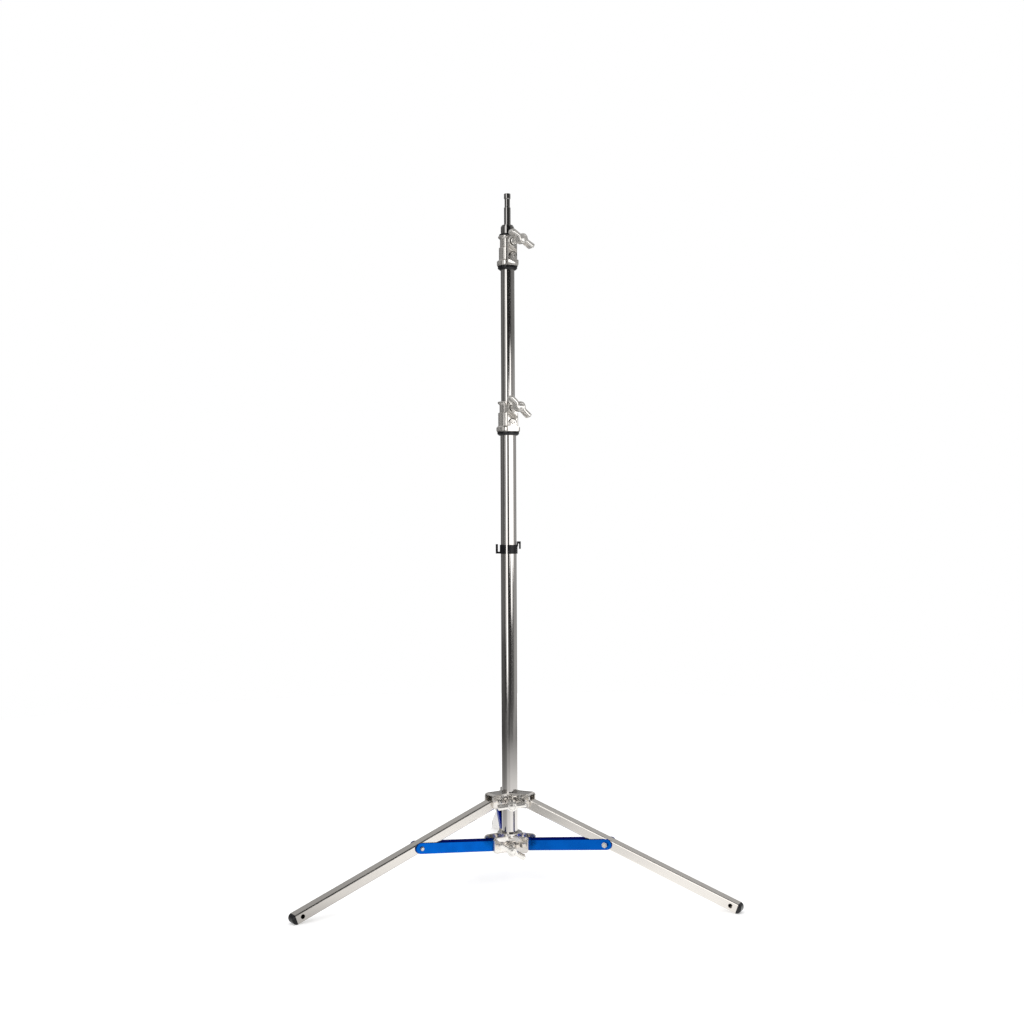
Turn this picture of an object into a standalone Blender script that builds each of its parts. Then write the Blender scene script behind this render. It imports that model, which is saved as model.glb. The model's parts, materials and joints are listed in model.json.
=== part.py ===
"""Double-riser lighting stand with three folding box-section legs and channel braces.

Units are metres and +Z is up.  The stand rests on Z = 0, its rear leg points along +Y, and the
origin lies under the middle of the footprint's bounding box.
"""

import math

import bmesh
import bpy
from mathutils import Matrix

# ---------------------------------------------------------------- driving dimensions
GAP = 0.0003                     # clearance between pieces that meet
TUBE_SIDES = 32                  # facets round the column and what fits it
LEG_AZIMUTHS = {"left": 210.0, "right": 330.0, "rear": 90.0}
FRONT_AZIMUTH = 270.0            # side on which both hub handles point

# telescopic column
COLUMN_RADIUS = 0.01905
RISER_1_RADIUS = 0.01665
RISER_2_RADIUS = 0.0143
TUBE_WALL = 0.00165
COLUMN_BOTTOM_Z = 0.0859
RISER_1_BOTTOM_Z = 0.5029
RISER_2_BOTTOM_Z = 0.6179
STUD_RADIUS = 0.0079375
STUD_GROOVE_RADIUS = 0.0065
STUD_TOP_Z = 1.6626
STUD_GROOVE_TOP_Z = 1.6501
STUD_GROOVE_BOTTOM_Z = 1.6296
STUD_SHOULDER_Z = 1.5862
STUD_DEPTH = 0.018               # part of the stud inside its cap and riser
STUD_BASE_RADIUS = 0.016
STUD_BASE_BOTTOM_Z = 1.5648

# rectangular legs; the bolt line lies above the middle of the section
LEG_WIDTH = 0.0254
LEG_ABOVE_PIVOT = 0.0101         # pivot line to the tube's top face
LEG_BELOW_PIVOT = 0.0127         # pivot line to the tube's bottom face
LEG_CORNER = 0.003
LEG_WALL = 0.002
LEG_SLOPE = 20.0
LEG_PIVOT_RADIUS = 0.040
LEG_PIVOT_Z = 0.2038
LEG_HOLE_DISTANCE = 0.545        # leg pivot to the hole near the foot
LEG_HOLE_RADIUS = 0.0052
FOOT_CENTRE_DISTANCE = 0.5584    # leg pivot to the centre of the rounded foot
FOOT_DROP = 0.0013               # foot centre under the pivot line
FOOT_FLAT_HALF_ANGLE = 8.0
FOOT_WIDTH = 0.0256
FOOT_EDGE = 0.0028               # rounding of the foot's two side edges
FOOT_PLUG_LENGTH = 0.009

# braces between the lower hub and the legs
BRACE_ON_LEG_DISTANCE = 0.229    # leg pivot to brace pivot along the leg
BRACE_ON_LEG_DROP = 0.0037       # brace pivot under the leg's centre line
BRACE_PIVOT_RADIUS = 0.041       # inner pivot from the column's axis
BRACE_PIVOT_Z = 0.0983
BRACE_WIDTH = 0.033
BRACE_HEIGHT = 0.0244
BRACE_WALL = 0.0031
BRACE_WEB = 0.003
BRACE_TIP = 0.003                # extra length beyond the outer pivot's half round
BRACE_OUTER_CUT = 0.048          # web removed around the leg
BRACE_INNER_CUT = 0.036          # web removed around the lower hub
PIVOT_BOLT_RADIUS = 0.0039
PIVOT_CLEARANCE = 0.0004

# hub castings
HUB_BORE_CLEARANCE = 0.0004
HUB_WALL_RADIUS = 0.0262
UPPER_HUB_BOTTOM_Z = 0.1849
UPPER_HUB_TOP_Z = 0.2214
UPPER_CHEEK_INNER = 0.0133
UPPER_CHEEK_OUTER = 0.0190
UPPER_CHEEK_REACH = 0.0600
UPPER_HOOD_BOTTOM_Z = 0.2172     # plate over each leg's inner end
UPPER_HOOD_START = 0.024
LOWER_HUB_BOTTOM_Z = 0.0789
LOWER_HUB_TOP_Z = 0.1244
LOWER_HUB_RING_RADIUS = 0.0300
LOWER_HUB_RING_Z = 0.1119
LOWER_CHEEK_INNER = 0.0171
LOWER_CHEEK_OUTER = 0.0226
LOWER_CHEEK_REACH = 0.0590
LOWER_CHEEK_TOP_Z = 0.1194
HUB_BOSS_RADIUS = 0.0115
HUB_BOSS_REACH = 0.0370
UPPER_HANDLE_Z = 0.2014
LOWER_HANDLE_Z = 0.0954

# T handles and their screws
SCREW_RADIUS = 0.0045
SCREW_CLEARANCE = 0.0004
PAD_THICKNESS = 0.003
HANDLE_NECK_RADIUS = 0.0072
HANDLE_FLANGE_RADIUS = 0.0078
HANDLE_BARREL_RADIUS = 0.0098
HANDLE_BAR_LENGTH = 0.066
HANDLE_BAR_WIDTH = 0.0185
HANDLE_BAR_THICKNESS = 0.0104
HANDLE_FACE_GAP = 0.0015
HANDLE_BAR_OFFSET = 0.0365       # boss face to the middle of the bar
HANDLE_LENGTH = 0.0485
HANDLE_SOCKET_DEPTH = 0.016

# clamp collars: heights of their steps and radii, from the top down
MIDDLE_COLLAR = {
    "top": 1.1606, "rim": 1.1547, "step": 1.1341, "flange": 1.0992, "bottom": 1.0883,
    "rim_radius": 0.0249, "neck_radius": 0.0207, "body_radius": 0.0240, "flange_radius": 0.0284,
    "outer_tube": COLUMN_RADIUS, "inner_tube": RISER_1_RADIUS,
    "handle_azimuth": 290.8, "handle_roll": -42.5, "pad_reach": 0.0272,
}
TOP_COLLAR = {
    "top": 1.5596, "rim": 1.5539, "step": 1.5319, "flange": 1.4994, "bottom": 1.4873,
    "rim_radius": 0.0224, "neck_radius": 0.0180, "body_radius": 0.0207, "flange_radius": 0.0256,
    "outer_tube": RISER_1_RADIUS, "inner_tube": RISER_2_RADIUS,
    "handle_azimuth": 298.8, "handle_roll": -29.0, "pad_reach": 0.0248,
}
COLLAR_RING_HEIGHT = 0.0086
BOSS_DROP = 0.0160               # collar top to the handle's axis
BOSS_RADIUS = 0.0122
BOSS_RECESS_RADIUS = 0.0086
BOSS_RECESS_DEPTH = 0.0022
CLIP_BOTTOM_Z = 0.7944
CLIP_TOP_Z = 0.8159
CLIP_RADIUS = 0.0215
CLIP_GAP_AZIMUTH = 252.0
CLIP_GAP = 0.0042

# ---------------------------------------------------------------- derived dimensions
SLOPE = math.radians(LEG_SLOPE)
FOOT_HEIGHT = (LEG_PIVOT_Z - FOOT_CENTRE_DISTANCE * math.sin(SLOPE)
               - FOOT_DROP * math.cos(SLOPE))
FOOT_RADIUS = FOOT_HEIGHT / math.cos(math.radians(FOOT_FLAT_HALF_ANGLE))
FOOT_REACH = (LEG_PIVOT_RADIUS + FOOT_CENTRE_DISTANCE * math.cos(SLOPE)
              - FOOT_DROP * math.sin(SLOPE))
FOOT_START = FOOT_RADIUS * math.cos(math.radians(90.0 - LEG_SLOPE + FOOT_FLAT_HALF_ANGLE))
LEG_END_DISTANCE = FOOT_CENTRE_DISTANCE + FOOT_START - GAP
SIDE_REACH = (FOOT_REACH + FOOT_RADIUS) * 0.5 + FOOT_WIDTH / 2 * math.cos(math.radians(30.0))
COLUMN_Y = -(FOOT_REACH + FOOT_RADIUS - SIDE_REACH) / 2
BRACE_OUTER_R = (LEG_PIVOT_RADIUS + BRACE_ON_LEG_DISTANCE * math.cos(SLOPE)
                 - BRACE_ON_LEG_DROP * math.sin(SLOPE))
BRACE_OUTER_Z = (LEG_PIVOT_Z - BRACE_ON_LEG_DISTANCE * math.sin(SLOPE)
                 - BRACE_ON_LEG_DROP * math.cos(SLOPE))
BRACE_LENGTH = math.hypot(BRACE_OUTER_R - BRACE_PIVOT_RADIUS, BRACE_OUTER_Z - BRACE_PIVOT_Z)
BRACE_SLOPE = math.atan2(BRACE_OUTER_Z - BRACE_PIVOT_Z, BRACE_OUTER_R - BRACE_PIVOT_RADIUS)

# ---------------------------------------------------------------- materials
MATERIALS = {
    "chrome_tube": ((0.62, 0.60, 0.57), 0.16, 1.0),
    "satin_casting": ((0.60, 0.58, 0.54), 0.38, 1.0),
    "bright_steel": ((0.72, 0.72, 0.71), 0.22, 1.0),
    "blue_brace": ((0.01, 0.09, 0.55), 0.34, 0.6),
    "black_plastic": ((0.012, 0.012, 0.013), 0.45, 0.0),
    "white_nylon": ((0.75, 0.74, 0.70), 0.5, 0.0),
    "brass": ((0.62, 0.46, 0.20), 0.35, 1.0),
}


def material(name):
    """Return the named material, making it on first use."""
    found = bpy.data.materials.get(name)
    if found:
        return found
    colour, roughness, metallic = MATERIALS[name]
    made = bpy.data.materials.new(name)
    made.use_nodes = True
    shader = made.node_tree.nodes["Principled BSDF"]
    shader.inputs["Base Color"].default_value = (*colour, 1.0)
    shader.inputs["Roughness"].default_value = roughness
    shader.inputs["Metallic"].default_value = metallic
    made.diffuse_color = (*colour, 1.0)
    return made


# ---------------------------------------------------------------- modelling helpers
def to_object(name, bm):
    """Turn a bmesh into a scene object with outward faces."""
    bmesh.ops.remove_doubles(bm, verts=bm.verts, dist=1e-6)
    bmesh.ops.recalc_face_normals(bm, faces=bm.faces)
    mesh = bpy.data.meshes.new(name)
    bm.to_mesh(mesh)
    bm.free()
    made = bpy.data.objects.new(name, mesh)
    bpy.context.scene.collection.objects.link(made)
    return made


def turned(profile, segments=32, matrix=Matrix()):
    """Spin a closed (radius, height) profile about Z."""
    bm = bmesh.new()
    points = [bm.verts.new((radius, 0.0, height)) for radius, height in profile]
    edges = [bm.edges.new((a, b)) for a, b in zip(points, points[1:] + points[:1])]
    bmesh.ops.spin(bm, geom=points + edges, cent=(0, 0, 0), axis=(0, 0, 1),
                   angle=math.tau, steps=segments, use_merge=True)
    bmesh.ops.remove_doubles(bm, verts=bm.verts, dist=1e-6)
    bmesh.ops.dissolve_degenerate(bm, dist=1e-7, edges=bm.edges)
    bm.transform(matrix)
    return to_object("turned", bm)


def prism(outline, low, high, matrix=Matrix()):
    """Extrude a flat (x, y) outline from Z = low to Z = high."""
    bm = bmesh.new()
    face = bm.faces.new([bm.verts.new((x, y, low)) for x, y in outline])
    extruded = bmesh.ops.extrude_face_region(bm, geom=[face])
    moved = [item for item in extruded["geom"] if isinstance(item, bmesh.types.BMVert)]
    bmesh.ops.translate(bm, verts=moved, vec=(0, 0, high - low))
    bm.transform(matrix)
    return to_object("prism", bm)


def rod(radius, low, high, matrix=Matrix(), segments=16):
    """Round bar along Z from low to high."""
    return prism(arc((0, 0), radius, 0, 360, segments)[:-1], low, high, matrix)


def block(low, high, matrix=Matrix()):
    """Box between two corners."""
    outline = [(low[0], low[1]), (high[0], low[1]), (high[0], high[1]), (low[0], high[1])]
    return prism(outline, low[2], high[2], matrix)


def arc(centre, radius, start, end, steps):
    """Points on an arc, angles in degrees."""
    angles = [math.radians(start + (end - start) * i / steps) for i in range(steps + 1)]
    return [(centre[0] + radius * math.cos(a), centre[1] + radius * math.sin(a)) for a in angles]


def rounded_box(x_low, x_high, y_low, y_high, radius, steps=2):
    """Rectangle outline with four rounded corners."""
    corners = [((x_high - radius, y_low + radius), -90), ((x_high - radius, y_high - radius), 0),
               ((x_low + radius, y_high - radius), 90), ((x_low + radius, y_low + radius), 180)]
    outline = []
    for centre, start in corners:
        outline += arc(centre, radius, start, start + 90, steps)
    return outline


def combine(target, tool, operation):
    """Apply one Boolean and drop the tool."""
    modifier = target.modifiers.new("combine", "BOOLEAN")
    modifier.operation = operation
    modifier.solver = "EXACT"
    modifier.object = tool
    view = bpy.context.evaluated_depsgraph_get()
    shaped = bpy.data.meshes.new_from_object(target.evaluated_get(view))
    target.modifiers.clear()
    spent = [target.data, tool.data]
    target.data = shaped
    bpy.data.objects.remove(tool)
    for mesh in spent:
        bpy.data.meshes.remove(mesh)
    return target


def join(target, *tools):
    for tool in tools:
        combine(target, tool, "UNION")
    return target


def cut(target, *tools):
    for tool in tools:
        combine(target, tool, "DIFFERENCE")
    return target


def finish(target, name, material_name, parent, location=(0, 0, 0), rotation=(0, 0, 0), sharp=35):
    """Name, shade, colour and place one piece."""
    target.name = name
    target.data.name = name
    bm = bmesh.new()
    bm.from_mesh(target.data)
    bmesh.ops.remove_doubles(bm, verts=bm.verts, dist=2e-6)
    bmesh.ops.dissolve_degenerate(bm, dist=2e-6, edges=bm.edges)
    bm.to_mesh(target.data)
    bm.free()
    target.data.materials.clear()
    target.data.materials.append(material(material_name))
    target.data.shade_smooth()
    target.data.set_sharp_from_angle(angle=math.radians(sharp))
    target.parent = parent
    target.location = location
    target.rotation_euler = rotation
    return target


def empty(name, parent=None, location=(0, 0, 0), rotation=(0, 0, 0)):
    made = bpy.data.objects.new(name, None)
    made.empty_display_size = 0.02
    bpy.context.scene.collection.objects.link(made)
    made.parent = parent
    made.location = location
    made.rotation_euler = rotation
    return made


def radial(azimuth, radius=0.0, height=0.0):
    """Frame with X outwards at an azimuth, Y around the column and Z up."""
    turn = Matrix.Rotation(math.radians(azimuth), 4, "Z")
    return turn @ Matrix.Translation((radius, 0, height))


UPRIGHT = Matrix(((1, 0, 0, 0), (0, 0, -1, 0), (0, 1, 0, 0), (0, 0, 0, 1)))    # outline in X and Z
ALONG_X = Matrix(((0, 0, 1, 0), (1, 0, 0, 0), (0, 1, 0, 0), (0, 0, 0, 1)))     # depth along X


# ---------------------------------------------------------------- column and risers
def tube(name, radius, low, high, parent):
    inner = radius - TUBE_WALL
    edge = 0.0004
    profile = [(inner, low), (inner, high), (radius - edge, high), (radius, high - edge),
               (radius, low + edge), (radius - edge, low)]
    return finish(turned(profile, TUBE_SIDES), name, "chrome_tube", parent)


def column_plug(parent):
    """Plastic end plug under the column."""
    inner = COLUMN_RADIUS - TUBE_WALL - GAP
    flange = COLUMN_BOTTOM_Z - GAP
    profile = [(0, flange - 0.0035), (0.0175, flange - 0.0035), (0.0187, flange - 0.0023),
               (0.0187, flange), (inner, flange), (inner, flange + 0.014), (0, flange + 0.014)]
    finish(turned(profile), "column_end_plug", "black_plastic", parent)


def guide_bush(name, tube_bottom, tube_radius, outer_radius, parent):
    """Plastic guide on the hidden lower end of a riser."""
    spigot = tube_radius - TUBE_WALL - GAP
    bore = spigot - 0.0022
    top = tube_bottom - GAP
    profile = [(bore, top - 0.028), (outer_radius - 0.0006, top - 0.028),
               (outer_radius, top - 0.027), (outer_radius, top), (spigot, top),
               (spigot, top + 0.015), (bore, top + 0.015)]
    finish(turned(profile), name, "white_nylon", parent)


def stud_and_base(parent):
    """Sixteen millimetre stud with its groove, on a cap over the second riser."""
    skirt = RISER_2_RADIUS + GAP
    tube_top = STUD_SHOULDER_Z - 0.0060
    hole = STUD_RADIUS + GAP
    base = [(skirt, STUD_BASE_BOTTOM_Z), (STUD_BASE_RADIUS - 0.0005, STUD_BASE_BOTTOM_Z),
            (STUD_BASE_RADIUS, STUD_BASE_BOTTOM_Z + 0.0005),
            (STUD_BASE_RADIUS, STUD_SHOULDER_Z - 0.0046), (0.0136, STUD_SHOULDER_Z),
            (hole, STUD_SHOULDER_Z), (hole, tube_top + GAP), (skirt, tube_top + GAP)]
    finish(turned(base), "stud_base", "chrome_tube", parent)
    foot = STUD_SHOULDER_Z - STUD_DEPTH
    edge = 0.0008
    stud = [(0, foot), (STUD_RADIUS - edge, foot), (STUD_RADIUS, foot + edge),
            (STUD_RADIUS, STUD_GROOVE_BOTTOM_Z - edge),
            (STUD_GROOVE_RADIUS, STUD_GROOVE_BOTTOM_Z + edge),
            (STUD_GROOVE_RADIUS, STUD_GROOVE_TOP_Z - edge), (STUD_RADIUS, STUD_GROOVE_TOP_Z + edge),
            (STUD_RADIUS, STUD_TOP_Z - edge), (STUD_RADIUS - edge, STUD_TOP_Z), (0, STUD_TOP_Z)]
    finish(turned(stud), "stud", "chrome_tube", parent)
    return tube_top


# ---------------------------------------------------------------- clamps
def clamp_collar(prefix, size, parent):
    """Cast collar with a handle boss, a retaining bolt and a split, and the ring under it."""
    flange_edge = 0.0025
    rim_edge = 0.0012
    outer = [(0, size["top"]), (size["rim_radius"] - rim_edge, size["top"]),
             (size["rim_radius"], size["top"] - rim_edge), (size["rim_radius"], size["rim"] + 0.002),
             (size["neck_radius"], size["rim"] - 0.002), (size["neck_radius"], size["step"] + 0.001),
             (size["body_radius"], size["step"] - 0.001),
             (size["body_radius"], size["flange"] + 0.003),
             (size["flange_radius"], size["flange"] - 0.001),
             (size["flange_radius"], size["bottom"] + flange_edge),
             (size["flange_radius"] - 0.001, size["bottom"]), (0, size["bottom"])]
    collar = turned(outer, TUBE_SIDES)
    azimuth = size["handle_azimuth"]
    reach = size["pad_reach"]
    boss_z = size["top"] - BOSS_DROP
    bolt_z = size["flange"] + 0.0100
    half_pad = 0.0128
    face = prism(rounded_box(-half_pad, half_pad, size["bottom"] + 0.0015, size["rim"], 0.003),
                 0.004, reach - 0.0016, radial(azimuth) @ ALONG_X)
    foot = prism(rounded_box(-half_pad - 0.0016, half_pad + 0.0016, size["bottom"] + 0.0008,
                             size["flange"] + 0.0015, 0.002),
                 0.004, reach + 0.0020, radial(azimuth) @ ALONG_X)
    boss = rod(BOSS_RADIUS, 0.004, reach, radial(azimuth, 0, boss_z) @ ALONG_X, 24)
    recess = rod(BOSS_RECESS_RADIUS, reach - BOSS_RECESS_DEPTH, reach + 0.01,
                 radial(azimuth, 0, boss_z) @ ALONG_X, 24)
    tongue = prism(arc((0, bolt_z), 0.0082, 0, 180, 10)
                   + [(-0.0082, size["flange"] - 0.001), (0.0082, size["flange"] - 0.001)],
                   0.004, reach + 0.0006, radial(azimuth) @ ALONG_X)
    join(collar, face, foot, boss, tongue)
    lower_bore = size["outer_tube"] + GAP
    upper_bore = size["inner_tube"] + GAP
    shoulder = size["step"] - 0.0005
    bore = [(0, size["bottom"] - 0.01), (lower_bore, size["bottom"] - 0.01),
            (lower_bore, shoulder), (upper_bore, shoulder), (upper_bore, size["top"] + 0.01),
            (0, size["top"] + 0.01)]
    screw_hole = rod(SCREW_RADIUS + SCREW_CLEARANCE, 0.008, reach + 0.01,
                     radial(azimuth, 0, boss_z) @ ALONG_X)
    bolt_hole = rod(0.0024, reach - 0.006, reach + 0.01, radial(azimuth, 0, bolt_z) @ ALONG_X, 12)
    split = block((0.010, -0.0008, size["bottom"] - 0.01), (0.040, 0.0008, size["top"] + 0.01),
                  radial(azimuth - 42.0))
    cut(collar, turned(bore, TUBE_SIDES), recess, screw_hole, bolt_hole, split)
    finish(collar, prefix + "_clamp_collar", "satin_casting", parent)
    ring_top = size["bottom"] - GAP
    ring_radius = size["flange_radius"] - 0.0020
    ring = [(lower_bore, ring_top - COLLAR_RING_HEIGHT),
            (ring_radius - 0.004, ring_top - COLLAR_RING_HEIGHT),
            (ring_radius, ring_top - 0.0050), (ring_radius, ring_top), (lower_bore, ring_top)]
    finish(turned(ring), prefix + "_collar_ring", "black_plastic", parent)
    retaining_bolt(prefix, azimuth, bolt_z, reach + 0.0006, parent)
    pad_seat = upper_bore
    clamp_pad(prefix + "_clamp_pad", azimuth, boss_z, pad_seat, parent)
    return azimuth, boss_z, reach, pad_seat + PAD_THICKNESS + GAP


def retaining_bolt(prefix, azimuth, height, seat, parent):
    """Socket-head bolt in the collar's lower tongue."""
    head = [(0, seat + 0.0030), (0.0036, seat + 0.0030), (0.0041, seat + 0.0025),
            (0.0041, seat + GAP), (0.0021, seat + GAP), (0.0021, seat - 0.0055), (0, seat - 0.0055)]
    bolt = turned(head, 12, radial(azimuth, 0, height) @ ALONG_X)
    socket = prism(arc((0, 0), 0.0019, 0, 360, 6)[:-1], seat + 0.0014, seat + 0.006,
                   radial(azimuth, 0, height) @ ALONG_X)
    cut(bolt, socket)
    finish(bolt, prefix + "_collar_bolt", "bright_steel", parent)


def clamp_pad(name, azimuth, height, seat, parent):
    """Brass disc that the clamp screw presses on the tube."""
    disc = rod(SCREW_RADIUS, seat, seat + PAD_THICKNESS, radial(azimuth, 0, height) @ ALONG_X)
    finish(disc, name, "brass", parent)


def t_handle(prefix, azimuth, height, reach, screw_start, roll, parent):
    """Cast T handle and its clamp screw, turning about one radial axis."""
    pivot = empty(prefix + "_handle_axis", parent,
                  radial(azimuth, reach, height).to_translation(),
                  (math.radians(roll), 0, math.radians(azimuth)))
    collar_end = HANDLE_FACE_GAP + 0.004
    flare = HANDLE_BAR_OFFSET - HANDLE_BAR_WIDTH / 2
    profile = [(0, HANDLE_FACE_GAP), (HANDLE_FLANGE_RADIUS, HANDLE_FACE_GAP),
               (HANDLE_FLANGE_RADIUS, collar_end), (HANDLE_NECK_RADIUS, collar_end + 0.004),
               (HANDLE_NECK_RADIUS, flare - 0.002),
               (HANDLE_BARREL_RADIUS, flare + 0.003), (HANDLE_BARREL_RADIUS, HANDLE_LENGTH - 0.003),
               (HANDLE_BARREL_RADIUS - 0.003, HANDLE_LENGTH), (0, HANDLE_LENGTH)]
    handle = turned(profile, 20, ALONG_X)
    half = HANDLE_BAR_LENGTH / 2
    thick = HANDLE_BAR_THICKNESS / 2
    tip = 0.002
    waist = thick * 0.86
    outline = [(-half + tip, -thick), (-0.014, -waist), (0.014, -waist), (half - tip, -thick),
               (half, -thick + tip), (half, thick - tip), (half - tip, thick), (0.014, waist),
               (-0.014, waist), (-half + tip, thick), (-half, thick - tip), (-half, -thick + tip)]
    bar = prism(outline, flare, flare + HANDLE_BAR_WIDTH, ALONG_X)
    join(handle, bar)
    socket = rod(SCREW_RADIUS + GAP, 0, HANDLE_FACE_GAP + HANDLE_SOCKET_DEPTH, ALONG_X)
    cut(handle, socket)
    finish(handle, prefix + "_t_handle", "satin_casting", pivot)
    screw = rod(SCREW_RADIUS, screw_start - reach, HANDLE_FACE_GAP + HANDLE_SOCKET_DEPTH - GAP,
                ALONG_X)
    finish(screw, prefix + "_clamp_screw", "bright_steel", pivot)


# ---------------------------------------------------------------- hubs
def hub_arm(azimuth, inner, outer, reach, bottom, top, side):
    """One cheek beside a leg or brace; side is +1 or -1 around the column."""
    outline = ([(0.010, bottom)] + arc((reach - 0.008, bottom + 0.008), 0.008, -90, 0, 3)
               + arc((reach - 0.007, top - 0.007), 0.007, 0, 90, 3) + [(0.010, top)])
    low, high = sorted((-side * inner, -side * outer))
    return prism(outline, low, high, radial(azimuth) @ UPRIGHT)


def hood(azimuth, half_width, reach, bottom, top):
    """Plate that joins the tops of two cheeks over a leg."""
    corner = 0.007
    start = math.degrees(math.asin((bottom - top + corner) / corner))
    outline = [(UPPER_HOOD_START, bottom)] + arc((reach - corner, top - corner), corner, start, 90, 3)
    return prism(outline + [(UPPER_HOOD_START, top)], -half_width, half_width,
                 radial(azimuth) @ UPRIGHT)


def hub(name, cheek_inner, cheek_outer, reach, bottom, top, cheek_top, ring, hood_bottom, handle_z,
        pivot_radius, pivot_z, parent):
    """Sliding hub casting with three clevises and a boss for the clamp screw."""
    profile = [(0, bottom), (HUB_WALL_RADIUS, bottom)]
    if ring:
        ring_radius, ring_z = ring
        profile += [(HUB_WALL_RADIUS, ring_z), (ring_radius, ring_z + 0.003),
                    (ring_radius, top - 0.001), (ring_radius - 0.001, top)]
    else:
        profile += [(HUB_WALL_RADIUS, top)]
    body = turned(profile + [(0, top)], TUBE_SIDES)
    for azimuth in LEG_AZIMUTHS.values():
        for side in (-1, 1):
            join(body, hub_arm(azimuth, cheek_inner, cheek_outer, reach, bottom + 0.003,
                               cheek_top, side))
        if hood_bottom:
            join(body, hood(azimuth, cheek_inner + 0.0023, reach - 0.0007, hood_bottom,
                            cheek_top - 0.0006))
    front = radial(FRONT_AZIMUTH, 0, handle_z) @ ALONG_X
    join(body, rod(HUB_BOSS_RADIUS, 0.010, HUB_BOSS_REACH, front, 24))
    bore_radius = COLUMN_RADIUS + HUB_BORE_CLEARANCE
    cut(body, rod(bore_radius, bottom - 0.01, top + 0.01, Matrix(), TUBE_SIDES))
    for azimuth in LEG_AZIMUTHS.values():
        hole = rod(PIVOT_BOLT_RADIUS + PIVOT_CLEARANCE, -0.035, 0.035,
                   radial(azimuth, pivot_radius, pivot_z) @ UPRIGHT)
        cut(body, hole)
    cut(body, rod(SCREW_RADIUS + SCREW_CLEARANCE, 0.012, HUB_BOSS_REACH + 0.01, front))
    finish(body, name, "satin_casting", parent)


def hex_bolt(name, azimuth, radius, height, seat, length, parent):
    """Hex-head pivot bolt lying across an arm, head on the +Y side of the arm's frame."""
    frame = radial(azimuth, radius, height) @ UPRIGHT
    bolt = rod(PIVOT_BOLT_RADIUS, -seat - GAP - 0.0005, -seat + length, frame)
    head = prism(arc((0, 0), 0.0075, 0, 360, 6)[:-1], -seat - GAP - 0.0050, -seat - GAP, frame)
    join(bolt, head)
    finish(bolt, name, "bright_steel", parent)


def nut(name, azimuth, radius, height, seat, parent):
    """Hex nut on the far end of a pivot bolt."""
    frame = radial(azimuth, radius, height) @ UPRIGHT
    piece = prism(arc((0, 0), 0.0075, 0, 360, 6)[:-1], seat + GAP, seat + 0.0065, frame)
    cut(piece, rod(PIVOT_BOLT_RADIUS + GAP, seat - 0.01, seat + 0.02, frame))
    finish(piece, name, "bright_steel", parent)


# ---------------------------------------------------------------- legs and braces
def leg(side, azimuth, parent):
    """Box-section leg with its foot, its own frame running down the leg from the pivot."""
    pivot = empty(side + "_leg_axis", parent, radial(azimuth, LEG_PIVOT_RADIUS, LEG_PIVOT_Z)
                  .to_translation(), (0, SLOPE, math.radians(azimuth)))
    half = LEG_WIDTH / 2
    outline = rounded_box(-half, half, -LEG_BELOW_PIVOT, LEG_ABOVE_PIVOT, LEG_CORNER, 3)
    tube_piece = prism(outline, -half, LEG_END_DISTANCE, ALONG_X)
    cut(tube_piece, block((-0.03, -half + LEG_WALL, -LEG_BELOW_PIVOT + LEG_WALL),
                          (LEG_END_DISTANCE + 0.01, half - LEG_WALL, LEG_ABOVE_PIVOT - LEG_WALL)))
    round_end = arc((0, 0), LEG_BELOW_PIVOT, 90, 270, 10)
    trim = round_end + [(0, -0.02), (-0.02, -0.02), (-0.02, 0.02), (0, 0.02)]
    cut(tube_piece, prism(trim, -0.03, 0.03, UPRIGHT))
    holes = ((0.0, 0.0, PIVOT_BOLT_RADIUS + PIVOT_CLEARANCE),
             (BRACE_ON_LEG_DISTANCE, -BRACE_ON_LEG_DROP, PIVOT_BOLT_RADIUS + GAP),
             (LEG_HOLE_DISTANCE, (LEG_ABOVE_PIVOT - LEG_BELOW_PIVOT) / 2, LEG_HOLE_RADIUS))
    for along, up, radius in holes:
        cut(tube_piece, rod(radius, -0.03, 0.03, Matrix.Translation((along, 0, up)) @ UPRIGHT))
    finish(tube_piece, side + "_leg_tube", "chrome_tube", pivot)
    foot_cap(side, pivot)
    brace_bolt(side, pivot)
    return pivot


def foot_cap(side, pivot):
    """Rounded plastic foot with a narrow flat that lies on the floor."""
    turn = 90.0 - LEG_SLOPE
    half_width = FOOT_WIDTH / 2
    flat_start = -turn - FOOT_FLAT_HALF_ANGLE
    outline = ([(FOOT_START, FOOT_RADIUS * math.sin(math.radians(flat_start)))]
               + arc((0, 0), FOOT_RADIUS, -turn + FOOT_FLAT_HALF_ANGLE, -flat_start, 12))
    cap = prism(outline, -half_width, half_width)
    bm = bmesh.new()
    bm.from_mesh(cap.data)
    rim = [edge for edge in bm.edges
           if abs(edge.verts[0].co.z - edge.verts[1].co.z) < 1e-6
           and not all(abs(v.co.x - FOOT_START) < 1e-6 for v in edge.verts)]
    bmesh.ops.bevel(bm, geom=rim, offset=FOOT_EDGE, segments=3, profile=0.5, affect="EDGES")
    bm.transform(Matrix.Translation((FOOT_CENTRE_DISTANCE, 0, -FOOT_DROP)) @ UPRIGHT)
    bm.to_mesh(cap.data)
    bm.free()
    inside = LEG_WIDTH / 2 - LEG_WALL - GAP
    tongue = block((LEG_END_DISTANCE - FOOT_PLUG_LENGTH, -inside, -LEG_BELOW_PIVOT + LEG_WALL + GAP),
                   (LEG_END_DISTANCE + 0.002, inside, LEG_ABOVE_PIVOT - LEG_WALL - GAP))
    join(cap, tongue)
    finish(cap, side + "_foot_cap", "black_plastic", pivot)


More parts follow.
